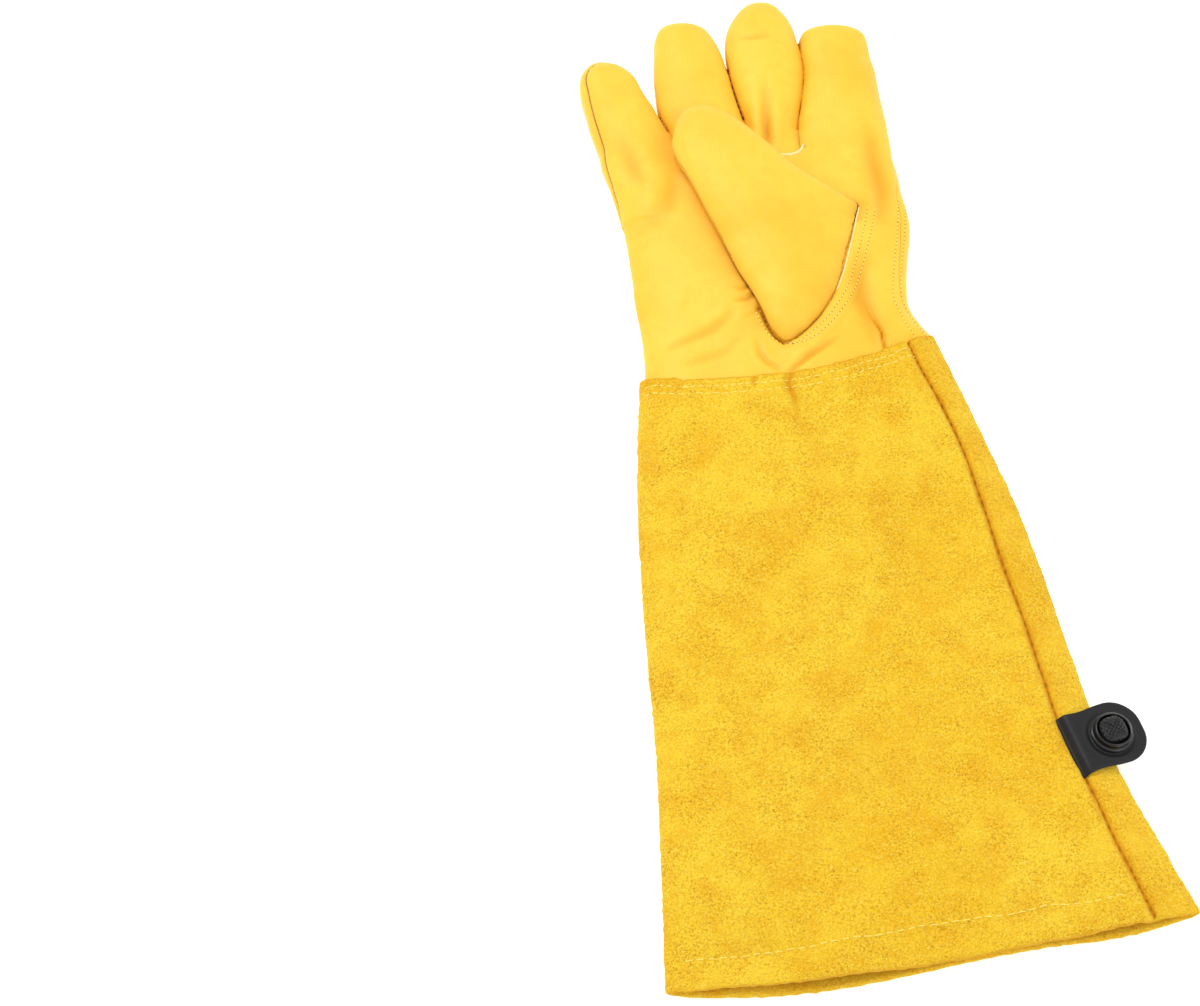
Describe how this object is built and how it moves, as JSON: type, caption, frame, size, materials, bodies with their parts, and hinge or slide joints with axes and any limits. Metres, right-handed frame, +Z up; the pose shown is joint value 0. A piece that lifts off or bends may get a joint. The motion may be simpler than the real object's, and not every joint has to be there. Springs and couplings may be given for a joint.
{
  "type": "rose pruning gauntlet",
  "caption": "Right-hand leather gardening glove with a long flared suede cuff, lying palm up with its thumb folded over the palm; a buttoned tab is sewn into the cuff's seam",
  "frame": {"origin": "on the surface that the glove lies on, under the middle of its bounding box", "axes": "+Z up out of the palm, +Y towards the fingertips, +X towards the side of the index finger"},
  "size_m": [0.2522, 0.49, 0.0388],
  "materials": {
    "grain_leather": "smooth light yellow grain leather with a soft satin sheen",
    "suede": "napped golden yellow split suede, matte and speckled",
    "cream_edge": "cream leather piping and cream sewing thread",
    "black_leather": "smooth black leather",
    "black_plastic": "glossy black moulded plastic",
    "black_tape": "black woven tape"
  },
  "bodies": {
    "root": {"back_panel": "grain_leather", "palm_panel": "grain_leather", "ring_finger_front": "grain_leather", "middle_finger_front": "grain_leather", "thumb_front": "grain_leather", "thumb_back": "grain_leather", "finger_welt": "cream_edge", "thumb_welt": "cream_edge", "cuff": "suede", "tab": "black_leather", "button": "black_plastic", "button_tape": "black_tape"}
  },
  "joints": []
}
